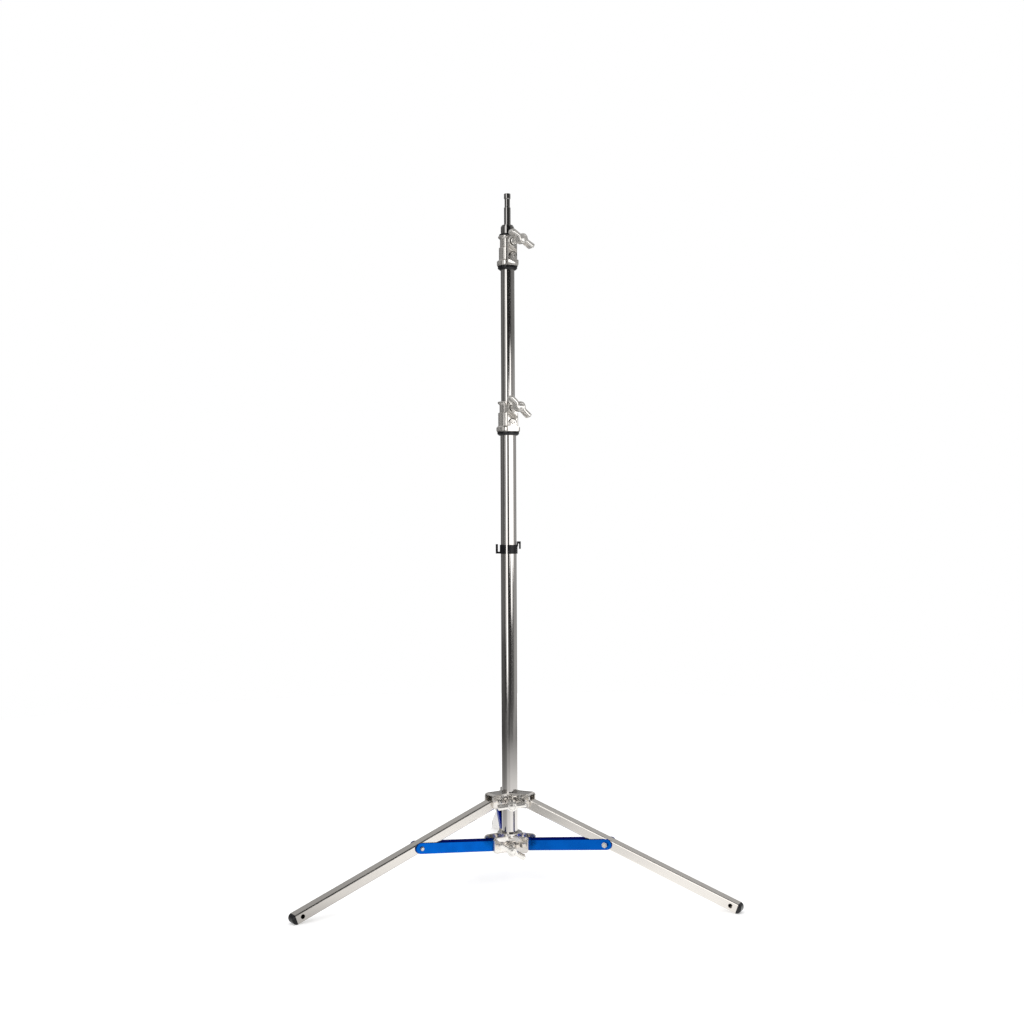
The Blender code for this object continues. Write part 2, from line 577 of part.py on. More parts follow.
def brace_bolt(side, pivot):
    """Round-head bolt and nut that join a brace to its leg."""
    frame = Matrix.Translation((BRACE_ON_LEG_DISTANCE, 0, -BRACE_ON_LEG_DROP)) @ UPRIGHT
    seat = BRACE_WIDTH / 2 + GAP
    head = [(0, -seat - 0.0034), (0.0034, -seat - 0.0034), (0.0050, -seat - 0.0022),
            (0.0056, -seat), (PIVOT_BOLT_RADIUS, -seat), (PIVOT_BOLT_RADIUS, seat + 0.0060),
            (0, seat + 0.0060)]
    bolt = turned(head, 16, frame)
    finish(bolt, side + "_brace_bolt", "bright_steel", pivot)
    piece = prism(arc((0, 0), 0.0068, 0, 360, 6)[:-1], seat, seat + 0.0055, frame)
    cut(piece, rod(PIVOT_BOLT_RADIUS + GAP, seat - 0.01, seat + 0.02, frame))
    finish(piece, side + "_brace_nut", "bright_steel", pivot)


def brace(side, azimuth, parent):
    """Channel brace, open side down, its own frame running out from the outer pivot."""
    pivot = empty(side + "_brace_axis", parent, radial(azimuth, BRACE_OUTER_R, BRACE_OUTER_Z)
                  .to_translation(), (0, -BRACE_SLOPE, math.radians(azimuth)))
    half_height = BRACE_HEIGHT / 2
    half_width = BRACE_WIDTH / 2
    side_view = (arc((BRACE_TIP, 0), half_height, -90, 90, 12)
                 + arc((-BRACE_LENGTH, 0), half_height - 0.0002, 90, 270, 8))
    channel = prism(side_view, -half_width, half_width, UPRIGHT)
    inside = half_width - BRACE_WALL
    web_bottom = half_height - BRACE_WEB
    cut(channel, block((-BRACE_LENGTH - 0.03, -inside, -half_height - 0.01),
                       (0.03, inside, web_bottom)))
    slant = 0.014
    outer_cut = [(-BRACE_OUTER_CUT + slant, web_bottom - 0.004), (0.03, web_bottom - 0.004),
                 (0.03, half_height + 0.001), (-BRACE_OUTER_CUT, half_height + 0.001)]
    inner_cut = [(-BRACE_LENGTH - 0.03, web_bottom - 0.004),
                 (-BRACE_LENGTH + BRACE_INNER_CUT, web_bottom - 0.004),
                 (-BRACE_LENGTH + BRACE_INNER_CUT, half_height + 0.004),
                 (-BRACE_LENGTH - 0.03, half_height + 0.004)]
    for outline in (outer_cut, inner_cut):
        cut(channel, prism(outline, -inside, inside, UPRIGHT))
    for along in (0.0, -BRACE_LENGTH):
        frame = Matrix.Translation((along, 0, 0)) @ UPRIGHT
        cut(channel, rod(PIVOT_BOLT_RADIUS + PIVOT_CLEARANCE, -0.03, 0.03, frame))
    finish(channel, side + "_brace", "blue_brace", pivot)
    pin_frame = Matrix.Translation((-BRACE_LENGTH, 0, 0)) @ UPRIGHT
    pin = rod(PIVOT_BOLT_RADIUS, -half_width, half_width, pin_frame)
    finish(pin, side + "_brace_pin", "bright_steel", pivot)


# ---------------------------------------------------------------- cable clip
def cable_clip(parent):
    """Plastic clip round the column with a cable hook on one side and a tab on the other."""
    bore = COLUMN_RADIUS + GAP
    band = turned([(bore, CLIP_BOTTOM_Z), (CLIP_RADIUS, CLIP_BOTTOM_Z), (CLIP_RADIUS, CLIP_TOP_Z),
                   (bore, CLIP_TOP_Z)])
    low = CLIP_BOTTOM_Z + 0.0004
    root = CLIP_RADIUS - 0.0015
    finger_in, finger_out = 0.0262, 0.0312
    hook = [(root, low), (finger_out, low), (finger_out, CLIP_TOP_Z + 0.0015),
            (finger_in, CLIP_TOP_Z + 0.0015), (finger_in, low + 0.0045), (root, low + 0.0045)]
    tab_out = 0.0290
    tab = [(root, CLIP_TOP_Z - 0.0040), (0.0226, CLIP_TOP_Z - 0.0040), (0.0226, CLIP_TOP_Z + 0.0025),
           (0.0252, CLIP_TOP_Z + 0.0025), (0.0252, low + 0.0110), (tab_out, low + 0.0110),
           (tab_out, CLIP_TOP_Z + 0.0080), (root, CLIP_TOP_Z + 0.0080)]
    hook_piece = prism(hook, -0.0045, 0.0045, radial(180.0) @ UPRIGHT)
    tab_piece = prism(tab, -0.0035, 0.0035, radial(0.0) @ UPRIGHT)
    join(band, hook_piece, tab_piece)
    half_gap = CLIP_GAP / 2
    cut(band, block((0.010, -half_gap, CLIP_BOTTOM_Z - 0.01), (0.030, half_gap, CLIP_TOP_Z + 0.01),
                    radial(CLIP_GAP_AZIMUTH)))
    finish(band, "cable_clip", "black_plastic", parent)


# ---------------------------------------------------------------- assembly
def build():
    for old in list(bpy.data.objects):
        bpy.data.objects.remove(old)
    stand = empty("stand", None, (0, COLUMN_Y, 0))
    column = empty("column_axis", stand)
    riser_1 = empty("riser_1_axis", column)
    riser_2 = empty("riser_2_axis", riser_1)
    upper = empty("upper_hub_axis", stand)

    tube("base_column", COLUMN_RADIUS, COLUMN_BOTTOM_Z, MIDDLE_COLLAR["step"] - 0.0010, column)
    column_plug(column)
    cable_clip(column)
    tube("riser_1_tube", RISER_1_RADIUS, RISER_1_BOTTOM_Z, TOP_COLLAR["step"] - 0.0010, riser_1)
    guide_bush("riser_1_bush", RISER_1_BOTTOM_Z, RISER_1_RADIUS, COLUMN_RADIUS - TUBE_WALL - 0.0002,
               riser_1)
    stud_tube_top = stud_and_base(riser_2)
    tube("riser_2_tube", RISER_2_RADIUS, RISER_2_BOTTOM_Z, stud_tube_top, riser_2)
    guide_bush("riser_2_bush", RISER_2_BOTTOM_Z, RISER_2_RADIUS,
               RISER_1_RADIUS - TUBE_WALL - 0.0002, riser_2)
    wiper_low = TOP_COLLAR["top"] + GAP
    wiper_high = STUD_BASE_BOTTOM_Z - GAP
    wiper = [(RISER_2_RADIUS + GAP, wiper_low), (0.0200, wiper_low), (0.0200, wiper_high - 0.001),
             (0.0190, wiper_high), (RISER_2_RADIUS + GAP, wiper_high)]
    finish(turned(wiper), "top_wiper_ring", "black_plastic", riser_1)

    for prefix, size, parent in (("middle", MIDDLE_COLLAR, column), ("top", TOP_COLLAR, riser_1)):
        azimuth, height, reach, screw_start = clamp_collar(prefix, size, parent)
        t_handle(prefix, azimuth, height, reach, screw_start, size["handle_roll"], parent)

    hub("upper_leg_hub", UPPER_CHEEK_INNER, UPPER_CHEEK_OUTER, UPPER_CHEEK_REACH,
        UPPER_HUB_BOTTOM_Z, UPPER_HUB_TOP_Z, UPPER_HUB_TOP_Z, None, UPPER_HOOD_BOTTOM_Z,
        UPPER_HANDLE_Z, LEG_PIVOT_RADIUS, LEG_PIVOT_Z, upper)
    hub("lower_brace_hub", LOWER_CHEEK_INNER, LOWER_CHEEK_OUTER, LOWER_CHEEK_REACH,
        LOWER_HUB_BOTTOM_Z, LOWER_HUB_TOP_Z, LOWER_CHEEK_TOP_Z,
        (LOWER_HUB_RING_RADIUS, LOWER_HUB_RING_Z), None, LOWER_HANDLE_Z,
        BRACE_PIVOT_RADIUS, BRACE_PIVOT_Z, stand)
    pad_seat = COLUMN_RADIUS + GAP
    screw_start = pad_seat + PAD_THICKNESS + GAP
    clamp_pad("upper_hub_pad", FRONT_AZIMUTH, UPPER_HANDLE_Z, pad_seat, upper)
    clamp_pad("lower_hub_pad", FRONT_AZIMUTH, LOWER_HANDLE_Z, pad_seat, stand)
    t_handle("upper_hub", FRONT_AZIMUTH, UPPER_HANDLE_Z, HUB_BOSS_REACH, screw_start, 6.0, upper)
    t_handle("lower_hub", FRONT_AZIMUTH, LOWER_HANDLE_Z, HUB_BOSS_REACH, screw_start, -29.0, stand)

    for side, azimuth in LEG_AZIMUTHS.items():
        hex_bolt(side + "_leg_bolt", azimuth, LEG_PIVOT_RADIUS, LEG_PIVOT_Z, UPPER_CHEEK_OUTER,
                 2 * UPPER_CHEEK_OUTER + 0.0075, upper)
        nut(side + "_leg_nut", azimuth, LEG_PIVOT_RADIUS, LEG_PIVOT_Z, UPPER_CHEEK_OUTER, upper)
        leg(side, azimuth, upper)
        brace(side, azimuth, stand)


build()
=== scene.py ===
"""Telescopic lighting stand: studio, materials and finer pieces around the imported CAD.

Everything is in metres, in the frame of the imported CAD. The CAD nodes stay where they
are and get rounded edges and materials. The finer castings and fittings are built
here and ride on the same bodies.
"""

import json
import math

import bmesh
import bpy
from mathutils import Matrix, Vector

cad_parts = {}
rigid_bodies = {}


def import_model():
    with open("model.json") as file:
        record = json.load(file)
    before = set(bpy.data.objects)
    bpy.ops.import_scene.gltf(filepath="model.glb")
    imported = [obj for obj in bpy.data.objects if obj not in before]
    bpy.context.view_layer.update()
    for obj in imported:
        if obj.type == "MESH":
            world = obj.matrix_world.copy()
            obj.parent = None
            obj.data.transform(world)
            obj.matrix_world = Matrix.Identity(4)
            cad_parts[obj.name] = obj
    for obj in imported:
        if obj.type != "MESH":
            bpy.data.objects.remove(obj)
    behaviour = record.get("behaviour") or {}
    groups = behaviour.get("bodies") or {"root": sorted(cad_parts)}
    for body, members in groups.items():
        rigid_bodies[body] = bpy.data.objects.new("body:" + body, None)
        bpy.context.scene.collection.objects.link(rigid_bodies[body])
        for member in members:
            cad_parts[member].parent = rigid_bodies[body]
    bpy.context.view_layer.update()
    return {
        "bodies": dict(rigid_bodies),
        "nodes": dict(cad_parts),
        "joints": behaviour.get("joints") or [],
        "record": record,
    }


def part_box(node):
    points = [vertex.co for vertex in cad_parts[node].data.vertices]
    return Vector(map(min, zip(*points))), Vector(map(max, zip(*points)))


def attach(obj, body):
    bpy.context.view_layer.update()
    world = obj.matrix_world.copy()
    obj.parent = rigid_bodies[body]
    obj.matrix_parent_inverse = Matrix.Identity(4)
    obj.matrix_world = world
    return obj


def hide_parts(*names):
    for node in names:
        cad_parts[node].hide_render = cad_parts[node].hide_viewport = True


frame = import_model()
nodes = frame["nodes"]


def middle_of(name):
    """Middle of a CAD node's box."""
    low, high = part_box(name)
    return (low + high) / 2


AXIS_X = middle_of("base_column").x
AXIS_Y = middle_of("base_column").y
AXIS_FOOT = (AXIS_X, AXIS_Y, 0)

# ---------------------------------------------------------------- camera
CAMERA_AZIMUTH = math.radians(266.17)   # heading of the camera, seen from the column axis
CAMERA_DISTANCE = 3.2451
CAMERA_HEIGHT = 0.8948
CAMERA_YAW = math.radians(-0.147)       # the stand sits just left of the middle
CAMERA_ROLL = -0.0043
FOCAL_PER_FRAME = 1344.66 / 1024
SENSOR = 36.0
NEAR_CLIP = 0.05
FAR_CLIP = 60.0
QUARTER_TURN = math.pi / 2
TOWARD_CAMERA = Vector((math.cos(CAMERA_AZIMUTH), math.sin(CAMERA_AZIMUTH), 0))
RIGHT_OF_CAMERA = Vector((-math.sin(CAMERA_AZIMUTH), math.cos(CAMERA_AZIMUTH), 0))


def make_camera():
    data = bpy.data.cameras.new("camera")
    data.sensor_width = SENSOR
    data.lens = FOCAL_PER_FRAME * SENSOR
    data.clip_start = NEAR_CLIP
    data.clip_end = FAR_CLIP
    camera = bpy.data.objects.new("camera", data)
    bpy.context.scene.collection.objects.link(camera)
    place = Vector((AXIS_X, AXIS_Y, CAMERA_HEIGHT)) + CAMERA_DISTANCE * TOWARD_CAMERA
    camera.matrix_world = (
        Matrix.Translation(place)
        @ Matrix.Rotation(CAMERA_AZIMUTH + QUARTER_TURN + CAMERA_YAW, 4, "Z")
        @ Matrix.Rotation(QUARTER_TURN, 4, "X")
        @ Matrix.Rotation(CAMERA_ROLL, 4, "Z"))
    bpy.context.scene.camera = camera


# ---------------------------------------------------------------- node helpers
class Tree:
    """A small writer of node trees. Values are output sockets or plain numbers."""

    def __init__(self, tree):
        tree.nodes.clear()
        self.nodes = tree.nodes
        self.links = tree.links

    def add(self, kind, **values):
        node = self.nodes.new(kind)
        for key, value in values.items():
            setattr(node, key, value)
        return node

    def link(self, source, target):
        self.links.new(source, target)

    def maths(self, operation, first, second=None):
        node = self.add("ShaderNodeMath", operation=operation)
        for socket, value in zip(node.inputs, (first, second)):
            if isinstance(value, (int, float)):
                socket.default_value = value
            elif value is not None:
                self.link(value, socket)
        return node.outputs[0]

    def plus(self, first, second):
        return self.maths("ADD", first, second)

    def minus(self, first, second):
        return self.maths("SUBTRACT", first, second)

    def times(self, first, second):
        return self.maths("MULTIPLY", first, second)

    def over(self, first, second):
        return self.maths("DIVIDE", first, second)

    def vector(self, operation, first, second, output="Vector"):
        node = self.add("ShaderNodeVectorMath", operation=operation)
        self.link(first, node.inputs[0])
        node.inputs[1].default_value = second
        return node.outputs[output]

    def smooth(self, value, low, high, out_low=0.0, out_high=1.0):
        """Soft step from out_low, where value is low, to out_high, where it is high."""
        node = self.add("ShaderNodeMapRange", interpolation_type="SMOOTHSTEP")
        self.link(value, node.inputs["Value"])
        limits = {"From Min": low, "From Max": high, "To Min": out_low, "To Max": out_high}
        for name, number in limits.items():
            node.inputs[name].default_value = number
        return node.outputs["Result"]

    def ramp(self, value, stops):
        """Colour by value; stops hold (value, grey level or colour) in linear light."""
        node = self.add("ShaderNodeValToRGB")
        self.link(value, node.inputs["Fac"])
        elements = node.color_ramp.elements
        while len(elements) < len(stops):
            elements.new(0.5)
        for element, (place, colour) in zip(elements, stops):
            element.position = place
            if isinstance(colour, (int, float)):
                colour = (colour,) * 3
            element.color = (*colour, 1.0)
        return node.outputs["Color"]

    def blend(self, first, second, share):
        """Grey level: first where share is 0, second where it is 1."""
        return self.plus(first, self.times(self.minus(second, first), share))

    def mix_shaders(self, first, second, share):
        """Shader: first where share is 0, second where it is 1."""
        node = self.add("ShaderNodeMixShader")
        self.link(share, node.inputs["Fac"])
        self.link(first, node.inputs[1])
        self.link(second, node.inputs[2])
        return node.outputs[0]

    def mirrored_or(self, seen, mirrored):
        """Shader: one look to the eye and to soft light, another in shiny surfaces."""
        path = self.add("ShaderNodeLightPath")
        return self.mix_shaders(seen, mirrored, path.outputs["Is Glossy Ray"])

    def noise(self, vector, scale, detail, stretch=None):
        node = self.add("ShaderNodeTexNoise")
        node.inputs["Scale"].default_value = scale
        node.inputs["Detail"].default_value = detail
        if stretch:
            mapping = self.add("ShaderNodeMapping")
            mapping.inputs["Scale"].default_value = stretch
            self.link(vector, mapping.inputs["Vector"])
            vector = mapping.outputs["Vector"]
        self.link(vector, node.inputs["Vector"])
        return node.outputs["Fac"]

    def openness(self, reach):
        """1 on open surfaces, less in pockets that are narrower than reach."""
        node = self.add("ShaderNodeAmbientOcclusion", samples=6)
        node.inputs["Distance"].default_value = reach
        return node.outputs["AO"]

    def darken(self, colour, share):
        node = self.add("ShaderNodeVectorMath", operation="SCALE")
        self.link(colour, node.inputs[0])
        self.link(share, node.inputs["Scale"])
        return node.outputs["Vector"]


def linear(level):
    """A display grey level, 0 to 255, as linear light."""
    share = level / 255
    return share / 12.92 if share <= 0.04045 else ((share + 0.055) / 1.055) ** 2.4


# ---------------------------------------------------------------- studio
# What the polished steel mirrors: grey levels by heading, in degrees right of the camera
# as the stand sees it. A band takes over from the one before it between two heights,
# in degrees above the horizon.
CHROME_REFLECTANCE = 0.78
FAR_FLOOR = (
    (-180, 110), (-150, 86), (-120, 60), (-75, 68), (-58, 68), (-42, 111), (-27, 95), (-12, 68), (0, 76),
    (16, 98), (45, 93), (62, 133), (79, 148), (100, 124), (150, 118), (180, 110))
JUST_UNDER = (
    (-180, 115), (-140, 74), (-111, 75), (-86, 72), (-60, 64), (-51, 30), (-40, 60), (-12, 100), (-3, 60),
    (8, 32), (24, 54), (52, 84), (69, 90), (88, 146), (111, 154), (143, 135), (180, 115))
LEVEL_WITH_CAMERA = (
    (-180, 120), (-140, 74), (-111, 96), (-86, 104), (-66, 62), (-12, 52), (8, 30), (40, 44), (62, 100),
    (80, 140), (100, 148), (150, 132), (180, 120))
ABOVE_WINDOWS = (
    (-180, 125), (-140, 74), (-111, 96), (-86, 104), (-66, 62), (-12, 46), (0, 30), (45, 36), (57, 88),
    (77, 114), (100, 103), (150, 125), (180, 125))
ROOM_BANDS = (
    ((-9.2, -7.8), JUST_UNDER),
    ((-6.0, -4.4), LEVEL_WITH_CAMERA),
    ((5.5, 7.5), ABOVE_WINDOWS))

# Light panels: each edge goes from dark at the first value to lit at the second.
LEFT_PANEL_START = (-50.7, -43.7)
LEFT_PANEL_END = (-18.0, -25.0)
LEFT_PANEL_FOOT = (-10.5, -8.5)
LEFT_PANEL_SLOPE = 1 / 12               # its foot drops by this per degree to the right
RIGHT_PANEL_HEADING = 41.0
RIGHT_PANEL_HEIGHT = 1.25
RIGHT_PANEL_HALF_WIDTH = 28.5
RIGHT_PANEL_HALF_HEIGHT = 5.75
RIGHT_PANEL_SLANT = 0.5                 # its middle moves left by this per degree upward
RIGHT_PANEL_EDGE = (1.12, 0.88)
PANEL_LIGHT = 1.5
BACK_WALL_SIDE = (108.0, 136.8)
BACK_WALL_FOOT = (12, 26)
BACK_WALL_LIGHT = 0.22
CEILING_START = (58, 76)
CEILING_SHARE = 0.5


def room_levels(tree, turn, levels):
    """Grey level by heading; turn runs from 0 to 1 and the camera is at its middle."""
    stops = [((heading + 180) / 360, linear(level) / CHROME_REFLECTANCE) for heading, level in levels]
    return tree.ramp(turn, stops)


def left_panel(tree, heading, height):
    """Tall soft light on the left with a sloping foot."""
    sides = tree.times(tree.smooth(heading, *LEFT_PANEL_START), tree.smooth(heading, *LEFT_PANEL_END))
    above_foot = tree.plus(height, tree.times(heading, LEFT_PANEL_SLOPE))
    return tree.times(sides, tree.smooth(above_foot, *LEFT_PANEL_FOOT))


def right_panel(tree, heading, height):
    """Wide oval soft light on the right."""
    middle = tree.minus(RIGHT_PANEL_HEADING, tree.times(height, RIGHT_PANEL_SLANT))
    across = tree.over(tree.minus(heading, middle), RIGHT_PANEL_HALF_WIDTH)
    upward = tree.over(tree.minus(height, RIGHT_PANEL_HEIGHT), RIGHT_PANEL_HALF_HEIGHT)
    squared = tree.plus(tree.times(across, across), tree.times(upward, upward))
    return tree.smooth(squared, *RIGHT_PANEL_EDGE)


def make_world():
    world = bpy.data.worlds.new("studio")
    world.use_nodes = True
    bpy.context.scene.world = world
    tree = Tree(world.node_tree)
    direction = tree.add("ShaderNodeTexCoord").outputs["Generated"]

    def along(axis):
        return tree.vector("DOT_PRODUCT", direction, axis, "Value")

    degrees = 180 / math.pi
    heading = tree.times(tree.maths("ARCTAN2", along(RIGHT_OF_CAMERA), along(TOWARD_CAMERA)), degrees)
    height = tree.times(tree.maths("ARCSINE", along((0, 0, 1))), degrees)
    turn = tree.plus(tree.over(heading, 360), 0.5)
    room = room_levels(tree, turn, FAR_FLOOR)
    for takes_over, levels in ROOM_BANDS:
        room = tree.blend(room, room_levels(tree, turn, levels), tree.smooth(height, *takes_over))
    panels = tree.maths("MAXIMUM", left_panel(tree, heading, height), right_panel(tree, heading, height))
    behind = tree.smooth(tree.maths("ABSOLUTE", heading), *BACK_WALL_SIDE)
    back_wall = tree.times(behind, tree.smooth(height, *BACK_WALL_FOOT))
    light = tree.plus(room, tree.times(panels, PANEL_LIGHT))
    light = tree.plus(light, tree.times(back_wall, BACK_WALL_LIGHT))
    light = tree.times(light, tree.smooth(height, *CEILING_START, 1.0, CEILING_SHARE))

    mirrored = tree.add("ShaderNodeBackground")
    tree.link(light, mirrored.inputs["Color"])
    plain = tree.add("ShaderNodeBackground")
    plain.inputs["Color"].default_value = (1, 1, 1, 1)
    plain.inputs["Strength"].default_value = 1.0
    output = tree.add("ShaderNodeOutputWorld")
    tree.link(tree.mirrored_or(plain.outputs[0], mirrored.outputs[0]), output.inputs["Surface"])


FLOOR_RADIUS = 3.4
FLOOR_SIDES = 96
FLOOR_FADE = (1.7, 2.4)                 # where its mirror image gives way to the room
# Its grey level by share of the radius, straight ahead and on the left.
FLOOR_AHEAD = ((0.0, 225), (0.20, 212), (0.37, 180), (0.48, 152), (0.66, 104))
FLOOR_LEFT = ((0.0, 215), (0.20, 160), (0.37, 114), (0.48, 98), (0.66, 70))
FLOOR_LEFT_EDGE = (-0.85, -0.5)
FLOOR_LIFT = (-0.12, 0.22, 1.0, 1.24)   # brighter to the right
PAPER_GREY = (0.80, 0.83)
PAPER_GLOW = 0.26


def mirrored_floor(tree, position):
    """What shiny pieces see of the floor: bright near the stand, then darker and gone."""
    spread = tree.vector("DISTANCE", position, AXIS_FOOT, "Value")
    offset = tree.vector("SUBTRACT", position, AXIS_FOOT)
    sideways = tree.vector("DOT_PRODUCT", offset, RIGHT_OF_CAMERA, "Value")
    reach = tree.over(spread, FLOOR_RADIUS)
    ahead, left = [tree.ramp(reach, [(place, linear(level)) for place, level in levels])
                   for levels in (FLOOR_AHEAD, FLOOR_LEFT)]
    side = tree.smooth(tree.over(sideways, spread), *FLOOR_LEFT_EDGE)
    glow = tree.add("ShaderNodeEmission")
    lift = tree.smooth(sideways, *FLOOR_LIFT)
    tree.link(tree.times(tree.blend(left, ahead, side), lift), glow.inputs["Color"])
    glow.inputs["Strength"].default_value = 1 / CHROME_REFLECTANCE
    clear = tree.add("ShaderNodeBsdfTransparent")
    return tree.mix_shaders(glow.outputs[0], clear.outputs[0], tree.smooth(spread, *FLOOR_FADE))


def make_floor():
    angles = [2 * math.pi * i / FLOOR_SIDES for i in range(FLOOR_SIDES)]
    corners = [(AXIS_X + FLOOR_RADIUS * math.cos(angle), AXIS_Y + FLOOR_RADIUS * math.sin(angle), 0.0)
               for angle in angles]
    mesh = bpy.data.meshes.new("floor")
    mesh.from_pydata(corners, [], [list(range(FLOOR_SIDES))])
    floor = bpy.data.objects.new("floor", mesh)
    bpy.context.scene.collection.objects.link(floor)
    material = bpy.data.materials.new("floor_paper")
    material.use_nodes = True
    tree = Tree(material.node_tree)
    position = tree.add("ShaderNodeNewGeometry").outputs["Position"]
    paper = tree.add("ShaderNodeBsdfPrincipled")
    paper.inputs["Roughness"].default_value = 0.9
    paper.inputs["Specular IOR Level"].default_value = 0.1
    paper.inputs["Emission Color"].default_value = (1, 1, 1, 1)
    paper.inputs["Emission Strength"].default_value = PAPER_GLOW
    grain = tree.noise(position, scale=60, detail=3)
    tree.link(tree.ramp(grain, [(0.3, PAPER_GREY[0]), (0.7, PAPER_GREY[1])]), paper.inputs["Base Color"])
    output = tree.add("ShaderNodeOutputMaterial")
    tree.link(tree.mirrored_or(paper.outputs[0], mirrored_floor(tree, position)), output.inputs["Surface"])
    mesh.materials.append(material)


LIGHTS = (
    # name, place, size, power
    ("key", (-1.9, -2.6, 2.6), 1.6, 28.0),
    ("fill", (2.3, -2.2, 1.9), 1.8, 14.0),
    ("back", (0.6, 2.6, 2.8), 1.8, 16.0))
LIGHT_TARGET = Vector((0, 0, 0.7))


def make_lights():
    for name, place, size, power in LIGHTS:
        data = bpy.data.lights.new(name, "AREA")
        data.size = size
        data.energy = power
        light = bpy.data.objects.new(name, data)
        bpy.context.scene.collection.objects.link(light)
        light.location = place
        light.rotation_euler = (LIGHT_TARGET - Vector(place)).to_track_quat("-Z", "Y").to_euler()
        light.visible_glossy = False


# ---------------------------------------------------------------- materials
def principled(name, metallic):
    """A new material: its tree, its main shader and the piece's own coordinates."""
    material = bpy.data.materials.new(name)
    material.use_nodes = True
    tree = Tree(material.node_tree)
    shader = tree.add("ShaderNodeBsdfPrincipled")
    shader.inputs["Metallic"].default_value = metallic
    output = tree.add("ShaderNodeOutputMaterial")
    tree.link(shader.outputs[0], output.inputs["Surface"])
    where = tree.add("ShaderNodeTexCoord").outputs["Object"]
    return material, tree, shader, where


def bump(tree, shader, relief, strength, distance):
    node = tree.add("ShaderNodeBump")
    node.inputs["Strength"].default_value = strength
    node.inputs["Distance"].default_value = distance
    tree.link(relief, node.inputs["Height"])
    tree.link(node.outputs["Normal"], shader.inputs["Normal"])


def scaled(colour, share):
    return tuple(part * share for part in colour)


def chrome(name, colour, dull, shine, streak):
    """Plated steel: polishing streaks, faint haze and fine scratches."""
    material, tree, shader, where = principled(name, 1.0)
    haze = tree.noise(where, scale=9, detail=3)
    streaks = tree.noise(where, scale=900, detail=3, stretch=streak)
    scratch_stretch = tuple(part * 0.6 + 0.02 for part in streak)
    scratches = tree.smooth(tree.noise(where, scale=260, detail=2, stretch=scratch_stretch), 0.66, 0.74)
    tree.link(tree.ramp(haze, [(0.3, scaled(colour, 0.93)), (0.65, colour)]), shader.inputs["Base Color"])
    wear = tree.plus(tree.times(haze, 0.6), tree.times(streaks, 0.4))
    rough = tree.smooth(wear, 0.3, 0.7, shine, dull)
    tree.link(tree.plus(rough, tree.times(scratches, 0.08)), shader.inputs["Roughness"])
    relief = tree.minus(tree.times(streaks, 0.35), tree.times(scratches, 0.5))
    bump(tree, shader, relief, strength=0.25, distance=0.00004)
    return material


def casting(name, colour, metallic, smoothest, roughest):
    """Tumbled and plated die casting: satin sheen and faint pitting, with painted shade darkening its
    pockets and its rims where they turn away from view.
    """
    material, tree, shader, where = principled(name, metallic)
    broad = tree.noise(where, scale=45, detail=3)
    grain = tree.noise(where, scale=1100, detail=2)
    pits = tree.smooth(tree.noise(where, scale=620, detail=1), 0.26, 0.20)
    # Painted shade: the colour darkens in pockets narrower than 5 mm, where shade falls.
    painted_pocket_shade = tree.smooth(tree.openness(0.005), 0.20, 0.66, 0.42, 1.0)
    # Painted shade: the colour darkens towards the rims, where the surface turns away from view.
    facing = tree.add("ShaderNodeLayerWeight").outputs["Facing"]
    edges = tree.smooth(facing, 0.66, 0.92, 1.0, 0.45)
    plated = tree.ramp(broad, [(0.3, scaled(colour, 0.90)), (0.62, colour)])
    tree.link(tree.darken(plated, tree.times(painted_pocket_shade, edges)), shader.inputs["Base Color"])
    rough = tree.smooth(broad, 0.3, 0.7, roughest, smoothest)
    tree.link(tree.plus(rough, tree.times(pits, 0.10)), shader.inputs["Roughness"])
    relief = tree.minus(tree.times(grain, 0.35), tree.times(pits, 0.6))
    bump(tree, shader, relief, strength=0.12, distance=0.00005)
    return material


def enamel(name, colour, shade, edge_tint):
    """Blue metallic lacquer on formed channel: orange peel, rubs and a slightly uneven coat, with painted
    shade darkening the colour in narrow pockets.
    """
    material, tree, shader, where = principled(name, 1.0)
    shader.inputs["Specular Tint"].default_value = (*edge_tint, 1.0)
    broad = tree.noise(where, scale=30, detail=2)
    peel = tree.noise(where, scale=420, detail=2)
    rubs = tree.smooth(tree.noise(where, scale=150, detail=3, stretch=(0.2, 1, 1)), 0.66, 0.72)
    # Painted shade: the lacquer's colour darkens in pockets narrower than 10 mm, as beside the hub cheeks.
    painted_pocket_shade = tree.smooth(tree.openness(0.010), 0.30, 0.80, 0.30, 1.0)
    coat = tree.ramp(broad, [(0.3, shade), (0.7, colour)])
    tree.link(tree.darken(coat, painted_pocket_shade), shader.inputs["Base Color"])
    rough = tree.smooth(broad, 0.3, 0.7, 0.28, 0.20)
    tree.link(tree.plus(rough, tree.times(rubs, 0.12)), shader.inputs["Roughness"])
    bump(tree, shader, peel, strength=0.12, distance=0.00006)
    return material


def plastic(name, colour, smoothest, roughest):
    """Moulded black plastic: glossy, with faint flow marks and scuffs."""
    material, tree, shader, where = principled(name, 0.0)
    shader.inputs["Specular IOR Level"].default_value = 0.4
    broad = tree.noise(where, scale=60, detail=3)
    grain = tree.noise(where, scale=1200, detail=2)
    scuffs = tree.smooth(tree.noise(where, scale=180, detail=3, stretch=(1, 1, 0.15)), 0.62, 0.70)
    scuffed = tuple(part * 2.2 + 0.004 for part in colour)
    tree.link(tree.ramp(scuffs, [(0.0, colour), (1.0, scuffed)]), shader.inputs["Base Color"])
    rough = tree.smooth(broad, 0.3, 0.7, smoothest, roughest)
    tree.link(tree.plus(rough, tree.times(scuffs, 0.2)), shader.inputs["Roughness"])
    bump(tree, shader, grain, strength=0.15, distance=0.0001)
    return material


